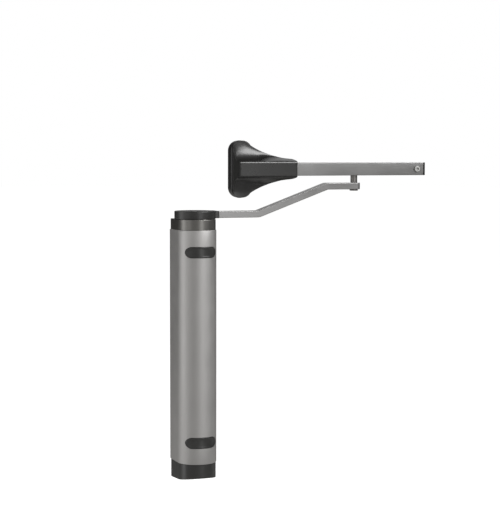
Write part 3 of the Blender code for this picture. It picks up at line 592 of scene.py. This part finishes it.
# ---- arm: hub ----------------------------------------------------------------------
profile = [(0.001, HUB_Z[0]), (HUB_R - 0.4, HUB_Z[0]), (HUB_R - 0.12, HUB_Z[0] + 0.12), (HUB_R, HUB_Z[0] + 0.4)]
for k in range(7):
    a = math.radians(15 * k)
    profile.append((HUB_R - 1.3 * (1 - math.cos(a)), HUB_Z[1] - 1.3 * (1 - math.sin(a))))
profile += [(HUB_R - 3.2, HUB_Z[1]), (0.001, HUB_Z[1])]
hub = lathe("arm_hub", profile, (0, AXIS_Y, 0), steps=160)


def beak_outline(i):
    return rectangle(0, BEAK_X - i, AXIS_Y - 14 + i, AXIS_Y + 14 - i, 2.0 - i)


carve(hub, prism("tool", beak_outline, edges(HUB_Z[0] + 0.9, HUB_Z[1] - 0.15, 0.4, 0.7, 4)), operation="UNION")
tenon = ARM_Z + ARM_T / 2 - 1.9
tools = [
    block((11.6, 60), (AXIS_Y - ARM_W / 2 - 0.35, AXIS_Y + ARM_W / 2 + 0.35), (185, tenon + 0.3)),
    block((-5.5, 5.5), (AXIS_Y - 5.5, AXIS_Y + 5.5), (185, 210)),
    lathe("tool", [(0.001, 198.4), (9.3, 198.4), (9.3, HUB_Z[1] - 0.3), (9.7, HUB_Z[1] + 0.1), (9.7, 212),
                   (0.001, 212)], (0, AXIS_Y, 0), steps=96),
]
for x in (18.4, 27.4):
    tools.append(lathe("tool", [(0.001, 10), (4.1, 10), (4.1, -0.6), (2.5, -2.2), (2.5, -20), (0.001, -20)],
                       (x, AXIS_Y, HUB_Z[1]), steps=48))
place(carve(hub, *tools), "arm_hub")

for label, x in (("inner", 18.4), ("outer", 27.4)):
    node = "arm_screw_" + label
    place(screw(node, (x, AXIS_Y, HUB_Z[1] - 0.3), "Z", 3.8, 0, 2.0, 10.2, 1.5, sunk=True), node)
place(screw("hub_screw", (0, AXIS_Y, 200.0), "Z", 5.2, 2.9, 2.3, 14.0, 2.0, 0.7), "hub_screw")
place(lathe("hub_washer", [(3.4, 198.7), (8.6, 198.7), (8.9, 198.9), (8.9, 199.5), (8.7, 199.7), (3.4, 199.7)],
            (0, AXIS_Y, 0), steps=96, loop=True), "hub_washer")


# ---- arm: cranked bar ----------------------------------------------------------------
def bar_line():
    """Centre line of the bar with its slope angle, bends included."""
    run = ARM_BENDS[1] - ARM_BENDS[0]
    tilt = math.atan2(ARM_RISE, run)
    r = 12.0
    cut = r * math.tan(tilt / 2)
    line = [(12.0, ARM_Z, 0.0)] + [(x, ARM_Z, 0.0) for x in (40.0, 70.0, ARM_BENDS[0] - cut - 0.2)]
    for k in range(13):
        a = tilt * k / 12
        line.append((ARM_BENDS[0] - cut + r * math.sin(a), ARM_Z + r - r * math.cos(a), a))
    for k in range(13):
        a = tilt * (1 - k / 12)
        line.append((ARM_BENDS[1] + cut - r * math.sin(a), ARM_Z + ARM_RISE - r + r * math.cos(a), a))
    line.append((ARM_BENDS[1] + cut + 0.2, ARM_Z + ARM_RISE, 0.0))
    stop = set()
    for k in range(11):
        stop.add(round(ARM_END - 6.5 + 6.5 * math.sin(math.radians(9 * k)), 4))
    for k in range(6):
        stop.add(round(ARM_END - 0.9 + 0.9 * math.sin(math.radians(18 * k)), 4))
    return line + [(x, ARM_Z + ARM_RISE, 0.0) for x in [240.0] + sorted(stop)]


rings = []
for x, z, a in bar_line():
    w, h = ARM_W / 2, ARM_T / 2
    if x > ARM_END - 6.5:
        w = ARM_W / 2 - 6.5 + math.sqrt(max(6.5 ** 2 - (x - ARM_END + 6.5) ** 2, 0))
    if x > ARM_END - 0.9:
        h = ARM_T / 2 - 0.9 + math.sqrt(max(0.9 ** 2 - (x - ARM_END + 0.9) ** 2, 0))
    rings.append([(x - n * math.sin(a), AXIS_Y + y, z + n * math.cos(a))
                  for y, n in rectangle(-w, w, -h, h, 0.9, 5)])
bar = solid("arm_bar", rings)
tools = [block((5, BEAK_X + 0.3), (AXIS_Y - 20, AXIS_Y + 20), (tenon, 215)),
         rod(4.3, (PIN_X, AXIS_Y, 0), "Z", 225, 250, 72)]
for x in (18.4, 27.4):
    tools.append(rod(2.4, (x, AXIS_Y, 0), "Z", 180, 210))
place(carve(bar, *tools), "arm_bar")

top, low = ARM_Z + ARM_RISE + ARM_T / 2, ARM_Z + ARM_RISE - ARM_T / 2
place(lathe(
    "pivot_pin",
    [(0.001, 269.6), (3.5, 269.6), (3.85, 269.45), (4.0, 269.1), (4.0, 268.3), (3.2, 268.3), (3.2, 266.9),
     (4.0, 266.9), (4.0, 256.6), (PIN_R - 0.3, 256.6), (PIN_R, 256.3), (PIN_R, top + 0.6), (PIN_R - 0.3, top + 0.3),
     (4.0, top + 0.3), (4.0, low - 0.3), (6.35, low - 0.3), (6.6, low - 0.55), (6.6, low - 1.4), (6.35, low - 1.85),
     (5.6, low - 2.2), (0.001, low - 2.2)],
    (PIN_X, AXIS_Y, 0), steps=72), "pivot_pin", finish="phosphated_steel")


# ---- rail, its end cap and screw --------------------------------------------------------
def rail_section():
    """C section with its slot facing down, corners rounded, in the YZ plane."""
    y0, y1, z0, z1 = rail_low[1], rail_high[1], rail_low[2], rail_high[2]
    w, s, c, k = 2.0, 5.8, 0.9, 0.25
    return (
        arc(AXIS_Y + s + k, z0 + k, k, 180, 270, 3)
        + arc(y1 - c, z0 + c, c, -90, 0, 6) + arc(y1 - c, z1 - c, c, 0, 90, 6)
        + arc(y0 + c, z1 - c, c, 90, 180, 6) + arc(y0 + c, z0 + c, c, 180, 270, 6)
        + arc(AXIS_Y - s - k, z0 + k, k, 270, 360, 3)
        + arc(AXIS_Y - s - k, z0 + w - k, k, 0, 90, 3)
        + [(y0 + w, z0 + w), (y0 + w, z1 - w), (y1 - w, z1 - w), (y1 - w, z0 + w)]
        + arc(AXIS_Y + s + k, z0 + w - k, k, 90, 180, 3)
    )


rail = solid("slide_rail", [[(x, y, z) for y, z in rail_section()]
                            for x in (rail_low[0], rail_low[0] + 90, rail_high[0] - 60, rail_high[0])])
place(carve(rail, rod(2.7, (SCREW_X, 0, RAIL_Z), "Y", -60, AXIS_Y - 6)), "slide_rail", 30, weighted=False)

y = (rail_low[1], rail_high[1])
z = (rail_low[2], rail_high[2])
inner_y = (AXIS_Y - 7.65, AXIS_Y + 7.65)
inner_z = (RAIL_Z - 7.65, RAIL_Z + 7.65)
end = block((rail_high[0] + 0.3, endcap_high[0]), y, z, 0.8, 4)
carve(end, block((rail_high[0] - 22, rail_high[0] + 2), inner_y, inner_z, 0.6, 2), operation="UNION")
carve(end, rod(2.3, (SCREW_X, 0, RAIL_Z), "Y", -60, AXIS_Y + 3))
place(end, "rail_end_cap", finish="matt_plastic")
place(screw("end_cap_screw", (SCREW_X, rail_low[1] - 0.3, RAIL_Z), "-Y", 4.6, 2.3, 2.0, 12.0, 1.9, 0.4),
      "end_cap_screw", finish="satin_zinc")


# ---- gate bracket: base plate, hood and screws ----------------------------------------------
def plate_outline(inset):
    r = PLATE_CORNER - inset
    cx, cz = PLATE_W - PLATE_CORNER, PLATE_HALF - PLATE_CORNER
    points = []
    for dx, dz, a in ((cx, cz, 0), (-cx, cz, 90), (-cx, -cz, 180), (cx, -cz, 270)):
        points += arc(GATE_X + dx, RAIL_Z + dz, r, a, a + 90, 20)
    return points


base = prism("gate_bracket", plate_outline,
             [(1.25, -PLATE_T), (1.1, -PLATE_T + 0.03), (0.12, 1.02 - PLATE_T), (0.03, 1.14 - PLATE_T),
              (0.0, 1.3 - PLATE_T), (0.0, -0.3), (0.09, -0.09), (0.3, 0.0)], "Y")
carve(base, block((71.0, rail_low[0] - 0.4), (AXIS_Y - 9.6, -8), (RAIL_Z - 9.6, RAIL_Z + 9.6), 0.6, 2),
      block((96, 150), inner_y, inner_z, 0.6, 2), operation="UNION")
tools = []
for z0 in (RAIL_Z + 29, RAIL_Z - 29):
    tools.append(lathe("tool", [(0.001, 12), (7.4, 12), (7.4, -6), (4.4, -6), (4.4, -30), (0.001, -30)],
                       (GATE_X, -PLATE_T, z0), "-Y", 64))
for x in (116, 138):
    tools.append(rod(2.2, (x, AXIS_Y, 0), "Z", RAIL_Z - 12, RAIL_Z + 3))
place(carve(base, *tools), "gate_bracket")

for side, z0 in (("upper", RAIL_Z + 29), ("lower", RAIL_Z - 29)):
    node = "gate_screw_" + side
    place(screw(node, (GATE_X, -PLATE_T + 5.7, z0), "-Y", 6.9, 5.4, 4.0, 7.4, 3.0, 1.2), node)
for label, x in (("inner", 116), ("outer", 138)):
    node = "rail_clamp_screw_" + label
    place(screw(node, (x, AXIS_Y, RAIL_Z - 10 + 2.0 - 0.9), "-Z", 3.4, 1.0, 1.9, 8.0, 1.4, 0.3), node)

RIM = ((65.3, 12.0), (65.3, 24.0), (65.3, 35.0), (66.9, 39.3), (70.0, 42.3), (74.8, 43.7), (79.3, 43.5),
       (83.8, 42.1), (88.3, 39.6), (93.5, 36.2), (99.6, 32.6), (106.1, 29.4), (112.6, 26.5), (119.2, 24.1),
       (125.7, 21.9), (132.3, 20.2), (138.9, 18.5), (145.5, 17.2), (152.0, 16.4), (157.0, 15.9), (161.0, 15.5))
FRONT_X, FRONT_Z = (67.8, 161.0), 11.3
FRONT_Y, RIM_Y, BACK_Y = hood_low[1], -21.0, hood_high[1]


def between(points, n):
    """More points along a line, by Catmull-Rom."""
    out = []
    for i in range(len(points) - 1):
        p0, p1, p2, p3 = (points[max(i - 1, 0)], points[i], points[i + 1], points[min(i + 2, len(points) - 1)])
        for k in range(n):
            t = k / n
            out.append(tuple(
                0.5 * (2 * b + (c - a) * t + (2 * a - 5 * b + 4 * c - d) * t * t + (3 * b - a - 3 * c + d) * t ** 3)
                for a, b, c, d in zip(p0, p1, p2, p3)))
    return out + [points[-1]]


def straight(points, n):
    out = []
    for a, b in zip(points, points[1:]):
        out += [tuple(p + (q - p) * k / n for p, q in zip(a, b)) for k in range(n)]
    return out + [points[-1]]


def rim(inset, n):
    line = between(list(RIM), n)
    return [(min(max(x, RIM[0][0] + inset), RIM[-1][0] - inset), z if i <= n else z - inset)
            for i, (x, z) in enumerate(line)]


def front(inset, n):
    x0, x1, z = FRONT_X[0] + inset, FRONT_X[1] - inset, FRONT_Z - inset
    points = [(x0, z * t) for t in (0.35, 0.7, 1.0)]
    near = (0.8, 2.4, 7.0)
    for i, (x, _) in enumerate(RIM[3:]):
        points.append((min(x0 + near[i] if i < len(near) else x, x1), z))
    return straight(points, n)


def hood(name, inset, rounding, y_front, y_rim, y_back, angles, n):
    """The flared hood: a concave sweep from the narrow front out to its rim, turning convex along the neck."""
    def ring(upper, y):
        points = [(x, y, RAIL_Z + z) for x, z in upper]
        return points + [(x, y, 2 * RAIL_Z - z) for x, y, z in points[::-1]]

    inner, outer = front(inset, n), rim(inset, n)
    rings = []
    if rounding:
        for edge, back in ((1.75, 0.0), (1.6, 0.02), (1.42, 0.09), (0.28, 0.62), (0.1, 0.78)):
            rings.append(ring(front(inset + edge * rounding, n), y_front + back * rounding))
        y_front += rounding
    for a in angles:
        s = math.sin(math.radians(a))
        upper = []
        for (fx, fz), (bx, bz) in zip(inner, outer):
            m = min(max((bx - 104) / 50, 0.0), 1.0)
            g = (1 - m) * (1 - math.cos(math.radians(a))) + m * s ** 0.55
            upper.append((fx + (bx - fx) * s, fz + (bz - fz) * g))
        if rounding and a == 90:
            for b in (80, 60, 40, 20, 0):
                b = math.radians(b)
                rings.append(ring(rim(inset + 0.6 * (1 - math.cos(b)), n), y_rim + 0.6 * (1 - math.sin(b))))
        else:
            rings.append(ring(upper, y_front + (y_rim - y_front) * s))
    rings.append(ring(outer, y_back))
    return solid(name, rings)


sweep = (0, 0.6, 1.6, 3, 5, 8, 12, 17, 22, 28, 34, 40, 46, 52, 58, 64, 70, 76, 82, 87, 90)
cover = hood("bracket_cover", 0.0, 1.0, FRONT_Y, RIM_Y, BACK_Y, sweep, 4)
carve(cover,
      hood("tool", 0.9, 0.0, FRONT_Y + 1.6, RIM_Y + 1.6, BACK_Y + 2, (0, 4, 12, 22, 34, 46, 58, 70, 80, 90), 2),
      block((156, 170), (rail_low[1] - 0.35, rail_high[1] + 0.35), (rail_low[2] - 0.35, rail_high[2] + 0.35)))
place(cover, "bracket_cover", 38)


# ---- floor, light and camera ---------------------------------------------------------------
def stage_material():
    f = Finish("studio_floor", 0.0)
    cloud = f.noise(1.2, detail=3.0)
    colour = f.blend(f.spread(cloud, 0.0, 1.0), (0.86, 0.86, 0.86), (0.88, 0.88, 0.88))
    f.bsdf.inputs["Emission Color"].default_value = (1, 1, 1, 1)
    f.bsdf.inputs["Emission Strength"].default_value = 0.88
    return f.done(colour, f.spread(cloud, 0.75, 0.85))


floor = solid("studio_floor", [[(40000 * math.cos(2 * math.pi * i / 96), 40000 * math.sin(2 * math.pi * i / 96), z)
                                for i in range(96)] for z in (-760, -750)])
floor.data.materials.append(stage_material())
floor.visible_glossy = False


def soft_box(name, azimuth, elevation, distance, width, height, radiance, roll=0.0, centre=(0.06, -0.03, 0.10)):
    """A rectangular soft box seen from the part at that azimuth (from -Y towards +X) and elevation."""
    a, e = math.radians(azimuth), math.radians(elevation)
    away = Vector((math.sin(a) * math.cos(e), -math.cos(a) * math.cos(e), math.sin(e)))
    light = bpy.data.lights.new(name, "AREA")
    light.shape = "RECTANGLE"
    light.size, light.size_y = width, height
    light.energy = radiance * math.pi * width * height
    obj = bpy.data.objects.new(name, light)
    scene.collection.objects.link(obj)
    obj.location = Vector(centre) + away * distance
    turn = (-away).to_track_quat("-Z", "Y")
    obj.rotation_euler = (turn.to_matrix() @ Matrix.Rotation(math.radians(roll), 3, "Z")).to_euler()
    obj.visible_camera = False
    return obj


soft_box("left_panel", -100, 2, 4.2, 2.02, 4.2, 1.0)
soft_box("left_fill", -66, 14, 4.2, 2.26, 2.75, 0.48)
soft_box("front_panel", 12, -2, 1.5, 0.48, 0.80, 1.18)
soft_box("high_right", 43, 38, 4.2, 2.18, 2.34, 7.2)
soft_box("rear_right", 155, 32, 3.0, 1.8, 1.7, 0.6)
soft_box("top_strip", 12, 62, 2.5, 0.55, 0.8, 2.6)
soft_box("side_right", 100, 36, 2.8, 1.6, 1.4, 0.9)
soft_box("rear_left", -145, 46, 2.8, 1.8, 1.4, 1.1)

# fill: dim all round, dimmest behind the part, and white where the camera sees it
world = bpy.data.worlds.new("studio")
scene.world = world
world.use_nodes = True
wt = world.node_tree
for n in list(wt.nodes):
    wt.nodes.remove(n)
out = wt.nodes.new("ShaderNodeOutputWorld")
mix = wt.nodes.new("ShaderNodeMixShader")
seen = wt.nodes.new("ShaderNodeBackground")
seen.inputs["Color"].default_value = (1, 1, 1, 1)
seen.inputs["Strength"].default_value = 1.0
fill = wt.nodes.new("ShaderNodeBackground")
fill.inputs["Color"].default_value = (1.0, 0.985, 0.96, 1)
toward = wt.nodes.new("ShaderNodeVectorMath")
toward.operation = "DOT_PRODUCT"
toward.inputs[1].default_value = (0.5, 0.866, 0.0)
span = wt.nodes.new("ShaderNodeMapRange")
span.interpolation_type = "SMOOTHSTEP"
span.inputs["From Min"].default_value = -0.6
span.inputs["From Max"].default_value = 0.9
span.inputs["To Min"].default_value = 0.30
span.inputs["To Max"].default_value = 0.015
direction = wt.nodes.new("ShaderNodeTexCoord")
wt.links.new(direction.outputs["Generated"], toward.inputs[0])
wt.links.new(toward.outputs["Value"], span.inputs["Value"])


def bounce(total, azimuth, elevation, inner, outer, strength):
    """Adds a soft patch of light in the fill, such as the bounce from a pale floor."""
    a, e = math.radians(azimuth), math.radians(elevation)
    along = wt.nodes.new("ShaderNodeVectorMath")
    along.operation = "DOT_PRODUCT"
    along.inputs[1].default_value = (math.sin(a) * math.cos(e), -math.cos(a) * math.cos(e), math.sin(e))
    patch = wt.nodes.new("ShaderNodeMapRange")
    patch.interpolation_type = "SMOOTHSTEP"
    patch.inputs["From Min"].default_value = math.cos(math.radians(outer))
    patch.inputs["From Max"].default_value = math.cos(math.radians(inner))
    patch.inputs["To Min"].default_value = 0.0
    patch.inputs["To Max"].default_value = strength
    add = wt.nodes.new("ShaderNodeMath")
    wt.links.new(direction.outputs["Generated"], along.inputs[0])
    wt.links.new(along.outputs["Value"], patch.inputs["Value"])
    wt.links.new(total, add.inputs[0])
    wt.links.new(patch.outputs["Result"], add.inputs[1])
    return add.outputs["Value"]


total = bounce(span.outputs["Result"], 105, -35, 12, 42, 0.38)
total = bounce(total, -150, -50, 15, 50, 0.50)
wt.links.new(total, fill.inputs["Strength"])
path = wt.nodes.new("ShaderNodeLightPath")
wt.links.new(path.outputs["Is Camera Ray"], mix.inputs["Fac"])
wt.links.new(fill.outputs["Background"], mix.inputs[1])
wt.links.new(seen.outputs["Background"], mix.inputs[2])
wt.links.new(mix.outputs["Shader"], out.inputs["Surface"])

scene.view_settings.view_transform = "Standard"
scene.view_settings.look = "None"

data = bpy.data.cameras.new("camera")
data.lens = 36.0 * 1582.5 / 514
data.sensor_width = 36.0
data.clip_start = 0.05
data.clip_end = 200
camera = bpy.data.objects.new("camera", data)
scene.collection.objects.link(camera)
camera.location = (-0.7404, -2.2870, 0.2974)
camera.rotation_euler = (Matrix.Rotation(math.radians(-20.184), 3, "Z") @ Matrix.Rotation(math.radians(90 - 3.946), 3, "X")
                         @ Matrix.Rotation(math.radians(0.078), 3, "Z")).to_euler()
scene.camera = camera
